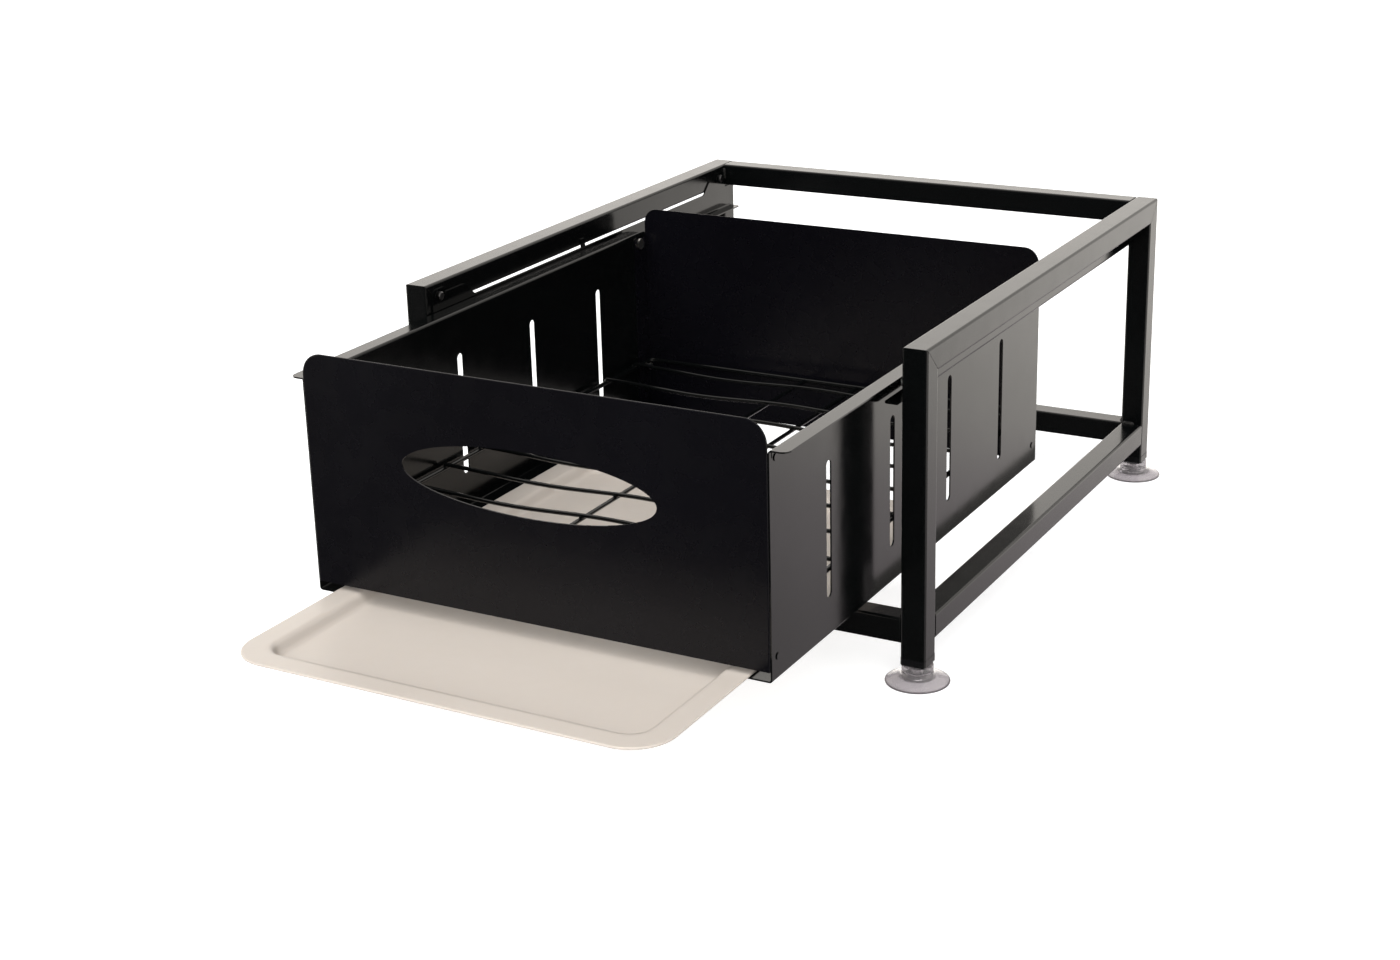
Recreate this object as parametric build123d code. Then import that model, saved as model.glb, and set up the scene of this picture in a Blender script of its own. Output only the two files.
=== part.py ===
from build123d import *
import math
import os

# A low tubular stand on suction feet, made to carry a small machine, with a pull-out drainer drawer.
# The drawer hangs by its side flanges on rollers between two sheet rails. It holds a lift-out wire
# rack, and a shallow drip tray slides out on its bottom flanges.
# The front faces -Y, +X is to the viewer's right and +Z is up. All lengths are millimetres.
# Pieces are drawn with y measured from the stand's front face and z from the floor, and place()
# moves the origin to the middle of the whole object's footprint at the end.

# Stand
stand_width = 450.0
stand_depth = 520.0
stand_height = 260.0
tube_size = 20.0
tube_wall = 1.5
tube_corner = 2.0
tube_bore_corner = 0.5
lower_bar_lift = 18.0  # from the legs' lower ends to the underside of the lower bars

# Suction feet, their studs and the legs' end caps
foot_height = 14.0
foot_radius = 24.5
foot_rim_height = 1.2
foot_rim_width = 1.0
foot_hollow = 4.2
hollow_knee_out = 0.6  # where the hollow's arc passes, as a share of its radius
hollow_knee_up = 0.66  # and as a share of its height
foot_shoulder_height = 5.8
foot_neck_radius = 12.0
foot_neck_draft = 0.6
cap_height = 6.5
cap_flare = 0.2
cap_edge = 1.0
plug_length = 12.0
plug_play = 0.2
plug_round = 1.0
stud_radius = 3.0
stud_play = 0.05
stud_head_radius = 6.0
stud_head_height = 2.0
stud_head_cover = 1.5  # rubber between the stud's head and the hollow
stud_reach = 14.0  # above the foot

# Drawer rails, folded sheet
rail_sheet = 1.2
rail_bend = 1.3
ledge_drop = 41.0  # from the stand's top to the ledge that the rear rollers run on
ledge_width = 12.5
ledge_lead = 3.0
ledge_round = 3.0
ledge_tail = 12.0
web_setback = 7.0
window_gap = 1.5  # between a rail's upper edge and the tube above it
tab_lap = 10.0
front_tab_length = 46.0
rear_tab_length = 30.0
tab_slope = 13.0
tab_round = 5.0
step_round = 1.0
ear_rise = 4.5
ear_length = 17.0
ear_round = 6.0
rear_tab_gap = 1.0
lug_place = 235.0
lug_width = 6.0
lug_lap = 6.0

# Screws that hold the rails
screw_radius = 2.0
screw_head_radius = 3.6
screw_head_height = 2.2
screw_length = 8.0
screw_play = 0.05
screw_setback = 10.0  # from a rail tab's end
screw_drop = 6.0  # below an ear's top
head_edge = 0.7

# Rollers and their riveted axles
roller_radius = 8.0
roller_width = 8.4
roller_edge = 0.8
roller_play = 0.05
track_play = 0.1
axle_radius = 3.0
axle_shoulder_radius = 5.0
axle_shoulder = 1.6
axle_end_play = 0.15
axle_collar_radius = 4.6
axle_collar = 1.4
axle_head_radius = 5.0
axle_head = 1.8
front_roller_setback = 32.0
rear_roller_setback = 13.0  # from the drawer's rear face

# Drawer, folded sheet
drawer_width = 377.6
drawer_depth = 496.0
drawer_open = 178.0  # how far the drawer stands out at rest
drawer_sheet = 1.2
drawer_bend = 1.0
panel_bend = 1.0
drawer_lift = 19.0  # from the lower bars' tops to the drawer's underside
flange_gap = 1.2  # between a drawer flange's edge and the rail's web
flange_round = 6.0
flange_front_gap = 1.0
flange_rear_gap = 8.0
relief_width = 1.4
relief_height = 4.0
bottom_flange = 28.0
bottom_flange_round = 4.0
panel_rise = 20.5
front_panel_round = 17.0
back_panel_round = 13.0
tray_slot = 6.8
front_return = 17.0
back_return = 21.0
return_gap = 5.0
return_round = 3.0
window_half_width = 105.0
window_half_height = 24.5
window_drop = 73.5

# Drain slots in the drawer's sides
slot_count = 4
slot_front_gap = 90.0  # from the drawer's front face to the first slot's middle
slot_rear_gap = 85.9
slot_width = 8.0
slot_drop = 34.5  # from the flange's top to a slot's upper end
slot_rise = 29.0  # from the drawer's underside to a slot's lower end

# Rivets that join the drawer's panels
rivet_radius = 1.6
rivet_head_radius = 2.6
rivet_head = 0.7
rivet_setback = 10.0
rivet_top_drop = 7.0
rivet_bottom_rise = 17.0

# Studs that carry the rack
support_radius = 2.0
support_length = 8.0
support_head_radius = 3.2
support_head = 1.2
support_setback = 13.0
support_play = 0.1

# Wire rack
frame_wire = 4.0
cross_wire = 3.4
weld_sink = 0.5  # how far crossing wires are melted into each other
rack_height = 45.5  # from the drawer's underside to the frame wire's middle
rack_side_play = 1.7
rack_end_play = 2.9
rack_corner = 6.0
middle_wire_spread = 25.5
cross_count = 9
cross_front_gap = 54.4  # from the frame wire's middle to the first cross wire's
cross_rear_gap = 28.9
wave_count = 2
wave_depth = 3.0

# Drip tray
tray_side_gap = 15.8  # from the drawer's side sheet to the tray's rim
tray_length = 480.0
tray_round = 32.0
tray_wall = 2.0
tray_edge = 0.8
tray_rim = 18.0
tray_depth = 9.0
tray_slope_run = 8.0
tray_inner_round = 18.0
tray_play = 0.1
tray_out = 131.0  # how far the tray stands out of the drawer at rest

# How far a cutter runs past what it cuts
past = 1.0

# Places that follow from the sizes
half_width = stand_width / 2
inner_x = half_width - tube_size
leg_x = half_width - tube_size / 2
leg_end = foot_height + cap_height
lower_bar_z = foot_height + lower_bar_lift
tube_under = stand_height - tube_size
ledge_z = stand_height - ledge_drop
web_x = inner_x - rail_sheet
web_top = tube_under - window_gap
tab_top = tube_under + tab_lap
ear_top = tab_top + ear_rise
web_rear = stand_depth - ledge_tail
tab_rear = stand_depth - tube_size - rear_tab_gap
screw_z = ear_top - screw_drop
front_screw_y = web_setback + screw_setback
rear_screw_y = tab_rear - screw_setback

drawer_front = -drawer_open
drawer_back = drawer_front + drawer_depth
panel_half = drawer_width / 2
side_face = panel_half + drawer_sheet
return_face = panel_half - drawer_sheet
flange_under = ledge_z + 2 * roller_radius + 3 * track_play
side_top = flange_under + drawer_sheet
drawer_bottom = lower_bar_z + tube_size + drawer_lift
panel_top = side_top + panel_rise
flange_top = drawer_bottom + drawer_sheet
front_panel_bottom = flange_top + tray_slot
flange_x = web_x - flange_gap
slot_pitch = (drawer_depth - slot_front_gap - slot_rear_gap) / (slot_count - 1)
slot_height = side_top - slot_drop - drawer_bottom - slot_rise
rear_roller_y = drawer_back - rear_roller_setback
rear_roller_z = ledge_z + roller_radius + track_play
front_roller_z = flange_under - track_play - roller_radius

rack_z = drawer_bottom + rack_height
support_z = rack_z - frame_wire / 2 - support_play - support_radius
rack_half = return_face - rack_side_play - frame_wire / 2
rack_front = drawer_front + drawer_sheet + rack_end_play + frame_wire / 2
rack_back = drawer_back - drawer_sheet - rack_end_play - frame_wire / 2
cross_pitch = (rack_back - rack_front - cross_front_gap - cross_rear_gap) / (cross_count - 1)
cross_z = rack_z + (frame_wire + cross_wire) / 2 - weld_sink

tray_width = 2 * (panel_half - tray_side_gap)
tray_front = drawer_front - tray_out
tray_under = flange_top + tray_play
tray_top = tray_under + tray_wall

object_front = min(tray_front, drawer_front)
object_back = stand_depth - tube_size / 2 + foot_radius
origin_y = (object_front + object_back) / 2


# Helpers

def across(outline, x0, x1):
    """Carry a y-z outline from x0 to x1."""
    return extrude(Plane.YZ.offset(x0) * outline, amount=x1 - x0)


def lengthways(outline, y0, y1):
    """Carry an x-z outline from y0 to y1."""
    return extrude(Plane.XZ.offset(-y1) * outline, amount=y1 - y0)


def upwards(outline, z0, z1):
    """Carry an x-y outline from z0 to z1."""
    return extrude(Plane.XY.offset(z0) * outline, amount=z1 - z0)


def outline(points, radii):
    """A closed face through the points, with a corner radius for each point."""
    return make_face(FilletPolyline(*points, radius=radii, close=True))


def block(x0, x1, y0, y1, z0, z1):
    """A plain box between two corners."""
    return Pos((x0 + x1) / 2, (y0 + y1) / 2, (z0 + z1) / 2) * Box(x1 - x0, y1 - y0, z1 - z0)


def rod(start, end, radius):
    """A round bar from one point to another."""
    way = Vector(*end) - Vector(*start)
    return extrude(Plane(origin=start, z_dir=way) * Circle(radius), amount=way.length)


def turned(start, steps):
    """Stacked round steps along X from a start point, each given as a length and a radius."""
    x, y, z = start
    body = Part()
    for length, radius in steps:
        body += rod((x, y, z), (x + length, y, z), radius)
        x += length
    return body


def flipped(piece):
    """The same piece on the other side of the middle."""
    return mirror(piece, about=Plane.YZ)


def both_sides(pieces):
    """One node that holds the pieces of the right side and their mirror images."""
    return Part() + list(pieces) + [flipped(piece) for piece in pieces]


# Stand

def tube_outline():
    """The square tube's ring section."""
    hole = tube_size - 2 * tube_wall
    ring = RectangleRounded(tube_size, tube_size, tube_corner)
    return ring - RectangleRounded(hole, hole, tube_bore_corner)


def leg(front):
    """The right leg at one end, cut at 45 degrees where the top tube meets it."""
    y0 = 0 if front else stand_depth - tube_size
    y1 = y0 + tube_size
    tube = upwards(Pos(leg_x, y0 + tube_size / 2) * tube_outline(), leg_end, stand_height)
    outer, inner = (y0, y1) if front else (y1, y0)
    side = [(outer, leg_end), (inner, leg_end), (inner, tube_under), (outer, stand_height)]
    leg_tube = tube & across(outline(side, [0] * 4), inner_x, half_width)
    if front:
        leg_tube -= rail_hole(front_screw_y, screw_radius + screw_play)
    return leg_tube


def top_tube():
    """The right top tube, mitred into the legs at both ends."""
    section = Pos(leg_x, stand_height - tube_size / 2) * tube_outline()
    side = [
        (0, stand_height),
        (tube_size, tube_under),
        (stand_depth - tube_size, tube_under),
        (stand_depth, stand_height),
    ]
    tube = lengthways(section, 0, stand_depth) & across(outline(side, [0] * 4), inner_x, half_width)
    for y in (front_screw_y, rear_screw_y):
        tube -= rail_hole(y, screw_radius + screw_play)
    return tube


def rail_hole(y, radius):
    """A hole for a rail screw, through the sheet and the tube's inner wall."""
    return rod((web_x - past, y, screw_z), (inner_x + tube_wall + past, y, screw_z), radius)


def cross_bar(y_middle, z_middle):
    """A square tube across the stand, between the legs' inner faces."""
    return across(Pos(y_middle, z_middle) * tube_outline(), -inner_x, inner_x)


def lower_side_rail():
    """The right lower rail, between the front and rear legs."""
    section = Pos(leg_x, lower_bar_z + tube_size / 2) * tube_outline()
    return lengthways(section, tube_size, stand_depth - tube_size)


def foot_stud(x, y):
    """The steel stud moulded into a suction foot, which screws up into the end cap."""
    head_z = foot_hollow + stud_head_cover
    head = rod((x, y, head_z), (x, y, head_z + stud_head_height), stud_head_radius)
    return head + rod((x, y, head_z), (x, y, foot_height + stud_reach), stud_radius)


def suction_foot(x, y):
    """A suction cup with a hollow underside and a round neck."""
    rim_in = foot_radius - foot_rim_width
    shoulder = foot_neck_radius + foot_neck_draft
    dome = ThreePointArc((0, foot_hollow), (rim_in * hollow_knee_out, foot_hollow * hollow_knee_up), (rim_in, 0))
    wall = Polyline(
        (rim_in, 0),
        (foot_radius, 0),
        (foot_radius, foot_rim_height),
        (shoulder, foot_shoulder_height),
        (foot_neck_radius, foot_height),
        (0, foot_height),
        (0, foot_hollow),
    )
    half = make_face(Curve() + [dome, wall])
    cup = revolve(Plane.XZ * half, axis=Axis.Z)
    return Pos(x, y) * cup - foot_stud(x, y)


def end_cap(x, y):
    """A leg's plastic end cap: a flared sole, and a plug inside the tube."""
    sole_size = tube_size + 2 * cap_flare
    sole = upwards(Pos(x, y) * RectangleRounded(sole_size, sole_size, tube_corner + cap_flare), foot_height, leg_end)
    sole = chamfer(sole.edges().group_by(Axis.Z)[0], cap_edge)
    plug_size = tube_size - 2 * tube_wall - 2 * plug_play
    plug = upwards(Pos(x, y) * RectangleRounded(plug_size, plug_size, plug_round), leg_end, leg_end + plug_length)
    bore = rod((x, y, foot_height - past), (x, y, leg_end + plug_length + past), stud_radius + stud_play)
    return sole + plug - bore


# Rails

def rail():
    """The right rail: an upright web on the tube's inner face, with a ledge folded inwards."""
    fold = [
        (inner_x, ear_top + past),
        (inner_x, ledge_z - rail_sheet),
        (inner_x - ledge_width, ledge_z - rail_sheet),
        (inner_x - ledge_width, ledge_z),
        (web_x, ledge_z),
        (web_x, ear_top + past),
    ]
    radii = [0, rail_bend + rail_sheet, 0, 0, rail_bend, 0]
    sheet = lengthways(outline(fold, radii), -ledge_lead, web_rear)
    low = ledge_z - rail_sheet
    front_tab = web_setback + front_tab_length
    rear_tab = tab_rear - rear_tab_length
    edge = [
        (-ledge_lead, low),
        (web_rear, low),
        (web_rear, web_top),
        (tab_rear, web_top),
        (tab_rear, ear_top),
        (tab_rear - ear_length, ear_top),
        (tab_rear - ear_length, tab_top),
        (rear_tab, tab_top),
        (rear_tab - tab_slope, web_top),
        (lug_place + lug_width / 2, web_top),
        (lug_place + lug_width / 2, tube_under + lug_lap),
        (lug_place - lug_width / 2, tube_under + lug_lap),
        (lug_place - lug_width / 2, web_top),
        (front_tab + tab_slope, web_top),
        (front_tab, tab_top),
        (web_setback + ear_length, tab_top),
        (web_setback + ear_length, ear_top),
        (web_setback, ear_top),
        (web_setback, ledge_z),
        (-ledge_lead, ledge_z),
    ]
    edge_radii = [0, 0, 0, 0, ear_round, step_round, step_round, tab_round, tab_round, 0, 0, 0, 0,
                  tab_round, tab_round, step_round, step_round, ear_round, 0, 0]
    piece = sheet & across(outline(edge, edge_radii), inner_x - ledge_width, inner_x)
    x0 = inner_x - ledge_width
    plan = [(x0, -ledge_lead), (inner_x, -ledge_lead), (inner_x, web_rear), (x0, web_rear)]
    piece &= upwards(outline(plan, [ledge_round, 0, 0, ledge_round]), low, ear_top)
    for y in (front_screw_y, rear_screw_y):
        piece -= rail_hole(y, screw_radius + screw_play)
    axle = (inner_x + past, front_roller_setback, front_roller_z)
    piece -= rod((web_x - past, *axle[1:]), axle, axle_radius + roller_play)
    return piece


def rail_screw(y):
    """A pan-head screw through the rail into the right tube."""
    steps = [(screw_head_height, screw_head_radius), (screw_length, screw_radius)]
    screw = turned((web_x - screw_head_height, y, screw_z), steps)
    return chamfer(screw.edges().filter_by(GeomType.CIRCLE).group_by(Axis.X)[0], head_edge)


# Rollers

def roller(x, y, z):
    """A plastic roller with a bore that runs on its axle."""
    wheel = rod((x, y, z), (x + roller_width, y, z), roller_radius)
    wheel = chamfer(wheel.edges().filter_by(GeomType.CIRCLE), roller_edge)
    return wheel - rod((x - past, y, z), (x + roller_width + past, y, z), axle_radius + roller_play)


rear_roller_x = side_face + axle_shoulder + axle_end_play
front_roller_x = web_x - axle_shoulder - axle_end_play - roller_width


def rear_axle():
    """The right rear axle, riveted through the back panel's return and the drawer's side."""
    start = (return_face - axle_head, rear_roller_y, rear_roller_z)
    steps = [
        (axle_head, axle_head_radius),
        (2 * drawer_sheet, axle_radius),
        (axle_shoulder, axle_shoulder_radius),
        (roller_width + 2 * axle_end_play, axle_radius),
        (axle_collar, axle_collar_radius),
    ]
    return turned(start, steps)


def front_axle():
    """The right front axle, riveted through the rail's web."""
    start = (front_roller_x - axle_end_play - axle_collar, front_roller_setback, front_roller_z)
    steps = [
        (axle_collar, axle_collar_radius),
        (roller_width + 2 * axle_end_play, axle_radius),
        (axle_shoulder, axle_shoulder_radius),
        (rail_sheet, axle_radius),
        (axle_head, axle_head_radius),
    ]
    return turned(start, steps)


# Drawer

def end_panel(face_y, inward, bottom, corner, depth):
    """A folded end panel: a flat face, and returns inside the drawer's sides.

    inward is +1 where the drawer lies behind the face and -1 where it lies before it.
    """
    shape = [(-panel_half, bottom), (panel_half, bottom), (panel_half, panel_top), (-panel_half, panel_top)]
    y0, y1 = sorted((face_y, face_y + inward * drawer_sheet))
    panel = lengthways(outline(shape, [0, 0, corner, corner]), y0, y1)
    low = bottom + return_gap
    high = side_top - return_gap
    inner_y = face_y + inward * drawer_sheet
    far_y = face_y + inward * depth
    wing = [(inner_y, low), (far_y, low), (far_y, high), (inner_y, high)]
    side = across(outline(wing, [0, return_round, return_round, 0]), return_face, panel_half)
    folded = panel + side + flipped(side)
    bend = [
        edge
        for edge in folded.edges().filter_by(Axis.Z)
        if abs(edge.center().Y - face_y) < drawer_sheet / 4 and abs(abs(edge.center().X) - panel_half) < 1e-3
    ]
    return fillet(bend, panel_bend)


def side_hole(y, z, radius):
    """A hole through the right side and the return behind it."""
    return rod((return_face - past, y, z), (side_face + past, y, z), radius)


def rivet_places(front):
    """Where the rivets of one end sit, as y and z pairs."""
    y = drawer_front + rivet_setback if front else drawer_back - rivet_setback
    return [(y, side_top - rivet_top_drop), (y, drawer_bottom + rivet_bottom_rise)]


def front_panel():
    """The drawer's front, with its oval finger opening."""
    panel = end_panel(drawer_front, 1, front_panel_bottom, front_panel_round, front_return)
    oval = Pos(0, panel_top - window_drop) * Ellipse(window_half_width, window_half_height)
    panel -= lengthways(oval, drawer_front - past, drawer_front + drawer_sheet + past)
    for y, z in rivet_places(True):
        hole = side_hole(y, z, rivet_radius)
        panel = panel - hole - flipped(hole)
    return panel


def back_panel():
    """The drawer's back, whose returns also carry the rear axles."""
    panel = end_panel(drawer_back, -1, drawer_bottom, back_panel_round, back_return)
    places = [(y, z, rivet_radius) for y, z in rivet_places(False)[1:]]
    places.append((rear_roller_y, rear_roller_z, axle_radius))
    for y, z, radius in places:
        hole = side_hole(y, z, radius)
        panel = panel - hole - flipped(hole)
    return panel


def drawer_side():
    """The right side: an upright sheet, a top flange outwards and a bottom flange inwards."""
    fold = [
        (panel_half, side_top),
        (panel_half, flange_top),
        (side_face - bottom_flange, flange_top),
        (side_face - bottom_flange, drawer_bottom),
        (side_face, drawer_bottom),
        (side_face, flange_under),
        (flange_x, flange_under),
        (flange_x, side_top),
    ]
    outer = drawer_bend + drawer_sheet
    radii = [outer, drawer_bend, 0, 0, outer, drawer_bend, 0, 0]
    y0 = drawer_front + drawer_sheet
    y1 = drawer_back - drawer_sheet
    side = lengthways(outline(fold, radii), y0, y1)
    plan = [
        (side_face - bottom_flange, y0),
        (side_face, y0),
        (side_face, y0 + flange_front_gap),
        (flange_x, y0 + flange_front_gap),
        (flange_x, y1 - flange_rear_gap),
        (side_face, y1 - flange_rear_gap),
        (side_face, y1),
        (side_face - bottom_flange, y1),
    ]
    round_by = [bottom_flange_round, 0, 0, flange_round, flange_round, 0, 0, bottom_flange_round]
    side &= upwards(outline(plan, round_by), drawer_bottom, side_top)
    relief_z = flange_under - drawer_bend
    for y in (y0 + 2 * relief_width, y1 - flange_rear_gap + relief_width):
        side -= block(panel_half - past, side_face + past, y, y + relief_width, relief_z - relief_height, relief_z)
    slot = Rot(0, 0, 90) * SlotOverall(slot_height, slot_width)
    slot_z = side_top - slot_drop - slot_height / 2
    for index in range(slot_count):
        y = drawer_front + slot_front_gap + index * slot_pitch
        side -= across(Pos(y, slot_z) * slot, panel_half - past, side_face + past)
    for y, z in rivet_places(True) + rivet_places(False)[1:]:
        side -= side_hole(y, z, rivet_radius)
    return side - side_hole(rear_roller_y, rear_roller_z, axle_radius)


def rivet(y, z):
    """A small domed rivet through the right side and a return."""
    start = (return_face - rivet_head, y, z)
    steps = [
        (rivet_head, rivet_head_radius),
        (2 * drawer_sheet, rivet_radius),
        (rivet_head, rivet_head_radius),
    ]
    return turned(start, steps)


def rack_support(y):
    """A headed stud on a return's inner face, under the rack's frame wire."""
    start = (return_face - support_length, y, support_z)
    steps = [(support_head, support_head_radius), (support_length - support_head, support_radius)]
    return turned(start, steps)


# Wire rack

def frame_ring():
    """The rack's outer wire, bent into a rounded rectangle."""
    width = 2 * rack_half
    length = rack_back - rack_front
    path = RectangleRounded(width, length, rack_corner).wire()
    path = Pos(0, (rack_front + rack_back) / 2, rack_z) * path
    start = path @ 0
    section = Plane(origin=start, z_dir=path % 0) * Circle(frame_wire / 2)
    return sweep(section, path=path)


def wavy_wire(y):
    """A cross wire in shallow waves, as tangent arcs that meet halfway up each slope."""
    half_waves = 2 * wave_count
    step = 2 * rack_half / half_waves
    middle_z = cross_z - wave_depth / 2
    rise = wave_depth / 2
    # Crest and valley arcs of one radius meet with a shared slope at the middle height
    points = [Vector(-rack_half, y, cross_z)]
    arcs = []
    x = -rack_half
    for index in range(half_waves):
        sign = 1 if index % 2 == 0 else -1
        halfway = Vector(x + step / 2, y, middle_z)
        end = Vector(x + step, y, middle_z - sign * rise)
        arcs.append(TangentArc(points[-1], halfway, tangent=(1, 0, 0)))
        arcs.append(TangentArc(end, halfway, tangent=(-1, 0, 0)))
        points.append(end)
        x += step
    path = Wire([arc.edge() for arc in arcs])
    section = Plane(origin=points[0], z_dir=(1, 0, 0)) * Circle(cross_wire / 2)
    return sweep(section, path=path)


def middle_wire(x):
    """A straight wire along the rack, welded under the cross wires."""
    sag = wave_depth * (1 - math.cos(math.pi * wave_count * x / rack_half)) / 2
    z = cross_z - sag - cross_wire + weld_sink
    return rod((x, rack_front, z), (x, rack_back, z), cross_wire / 2)


def wire_rack():
    """The lift-out rack: frame wire, two middle wires, and the wavy cross wires over them."""
    rack = frame_ring()
    for x in (-middle_wire_spread, middle_wire_spread):
        rack += middle_wire(x)
    for index in range(cross_count):
        rack += wavy_wire(rack_back - cross_rear_gap - index * cross_pitch)
    return rack


# Drip tray

def tray_pan(width, length, corner, slope_run, depth, top):
    """The tray's hollow as a solid that narrows downwards."""
    lower_corner = corner - slope_run
    middle = tray_front + tray_length / 2
    upper = Plane.XY.offset(top) * (Pos(0, middle) * RectangleRounded(width, length, corner))
    floor = RectangleRounded(width - 2 * slope_run, length - 2 * slope_run, lower_corner)
    return loft([upper, Plane.XY.offset(top - depth) * (Pos(0, middle) * floor)])


def drip_tray():
    """A shallow moulded tray: a flat rim that slides on the flanges, and a sloped hollow."""
    middle = tray_front + tray_length / 2
    sheet = upwards(Pos(0, middle) * RectangleRounded(tray_width, tray_length, tray_round), tray_under, tray_top)
    sheet = chamfer(sheet.edges().group_by(Axis.Z)[-1], tray_edge)
    width = tray_width - 2 * tray_rim
    length = tray_length - 2 * tray_rim
    hollow = tray_pan(width, length, tray_inner_round, tray_slope_run, tray_depth, tray_top)
    shell = tray_pan(
        width + tray_wall,
        length + tray_wall,
        tray_inner_round + tray_wall / 2,
        tray_slope_run,
        tray_depth,
        tray_under,
    )
    return sheet + shell - hollow


def place(piece):
    """Move the origin from the stand's front face to the middle of the footprint."""
    return Pos(0, -origin_y, 0) * piece


leg_rows = {"front": tube_size / 2, "rear": stand_depth - tube_size / 2}
hands = {"left": -1, "right": 1}

nodes = {
    "rear_top_bar": cross_bar(stand_depth - tube_size / 2, stand_height - tube_size / 2),
    "front_lower_bar": cross_bar(tube_size / 2, lower_bar_z + tube_size / 2),
    "rear_lower_bar": cross_bar(stand_depth - tube_size / 2, lower_bar_z + tube_size / 2),
    "rail_screws": both_sides([rail_screw(front_screw_y), rail_screw(rear_screw_y)]),
    "front_roller_axles": both_sides([front_axle()]),
    "drawer_front_panel": front_panel(),
    "drawer_back_panel": back_panel(),
    "drawer_rivets": both_sides([rivet(y, z) for y, z in rivet_places(True) + rivet_places(False)[1:]]),
    "rear_roller_axles": both_sides([rear_axle()]),
    "rack_supports": both_sides(
        [rack_support(drawer_front + support_setback), rack_support(drawer_back - support_setback)]
    ),
    "wire_rack": wire_rack(),
    "drip_tray": drip_tray(),
}

pairs = {
    "front_{}_leg": leg(True),
    "rear_{}_leg": leg(False),
    "{}_top_tube": top_tube(),
    "{}_lower_rail": lower_side_rail(),
    "{}_drawer_rail": rail(),
    "drawer_{}_side": drawer_side(),
    "front_{}_roller": roller(front_roller_x, front_roller_setback, front_roller_z),
    "rear_{}_roller": roller(rear_roller_x, rear_roller_y, rear_roller_z),
}
for pattern, piece in pairs.items():
    nodes[pattern.format("right")] = piece
    nodes[pattern.format("left")] = flipped(piece)

studs = []
for row, y in leg_rows.items():
    for hand, sign in hands.items():
        nodes[f"{row}_{hand}_foot"] = suction_foot(sign * leg_x, y)
        nodes[f"{row}_{hand}_end_cap"] = end_cap(sign * leg_x, y)
        studs.append(foot_stud(sign * leg_x, y))
nodes["foot_studs"] = Part() + studs

os.makedirs("parts", exist_ok=True)
for name, piece in nodes.items():
    export_step(place(piece), f"parts/{name}.step")
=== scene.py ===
"""The looks of a low tubular stand on suction feet with a pull-out drainer drawer.

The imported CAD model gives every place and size. The front faces -Y, +X is to the viewer's right,
+Z is up, and all lengths are metres.
"""
import logging
import math
from dataclasses import dataclass, field
from enum import Enum
from typing import Dict, List, Optional, Sequence, Tuple, Union

import bmesh
import bpy
import numpy as np
from mathutils import Matrix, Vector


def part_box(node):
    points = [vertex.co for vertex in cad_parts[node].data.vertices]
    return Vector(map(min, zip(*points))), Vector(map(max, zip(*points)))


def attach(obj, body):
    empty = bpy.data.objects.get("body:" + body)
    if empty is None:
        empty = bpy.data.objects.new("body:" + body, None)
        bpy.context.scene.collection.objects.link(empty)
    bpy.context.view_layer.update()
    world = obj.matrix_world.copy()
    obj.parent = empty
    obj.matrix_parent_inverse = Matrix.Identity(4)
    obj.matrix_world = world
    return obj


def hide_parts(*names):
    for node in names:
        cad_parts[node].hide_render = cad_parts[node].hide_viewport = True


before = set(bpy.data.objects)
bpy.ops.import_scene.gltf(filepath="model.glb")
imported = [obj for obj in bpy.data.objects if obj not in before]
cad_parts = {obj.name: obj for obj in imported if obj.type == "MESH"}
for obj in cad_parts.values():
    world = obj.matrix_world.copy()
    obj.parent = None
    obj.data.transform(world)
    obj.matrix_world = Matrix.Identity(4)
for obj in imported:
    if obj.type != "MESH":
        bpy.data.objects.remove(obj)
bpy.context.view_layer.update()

MM = 0.001
CORNERS = [f"{row}_{hand}" for row in ("front", "rear") for hand in ("left", "right")]
log = logging.getLogger("scene")

Pair = Tuple[float, float]
Corner = Tuple[float, float, float]
Colour = Tuple[float, float, float]
Socket = bpy.types.NodeSocket


class Axis(Enum):
    """A direction of the row frame, as the place of its coordinate in a point."""

    X = 0
    Y = 1
    Z = 2


class TubeEnd(Enum):
    """How a tube of the stand is cut at one end."""

    BUTT = "square, against the side of another tube"
    MITRE = "at 45 degrees, its outer side the longer"


def node_box(node: str) -> Tuple[np.ndarray, np.ndarray]:
    """The lowest and highest corner of a CAD node, as arrays."""
    low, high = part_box(node)
    return np.array(low), np.array(high)


# Surfaces


def lattice(rows: int, columns: int, closed_rows: bool = False) -> np.ndarray:
    """Quads that join the neighbours in a grid of points whose rows are closed rings.

    Args:
        rows: How many rows of points the grid has.
        columns: How many points each row has.
        closed_rows: Whether the last row joins the first.

    Returns:
        An array of point numbers, four to a quad. Point (i, j) has the number i * columns + j.
    """
    i = np.arange(rows if closed_rows else rows - 1)[:, None]
    j = np.arange(columns)[None, :]
    below = (i + 1) % rows
    beside = (j + 1) % columns
    corners = [i * columns + j, i * columns + beside, below * columns + beside, below * columns + j]
    return np.stack([np.broadcast_to(c, (i.size, j.size)) for c in corners], -1).reshape(-1, 4)


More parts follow.
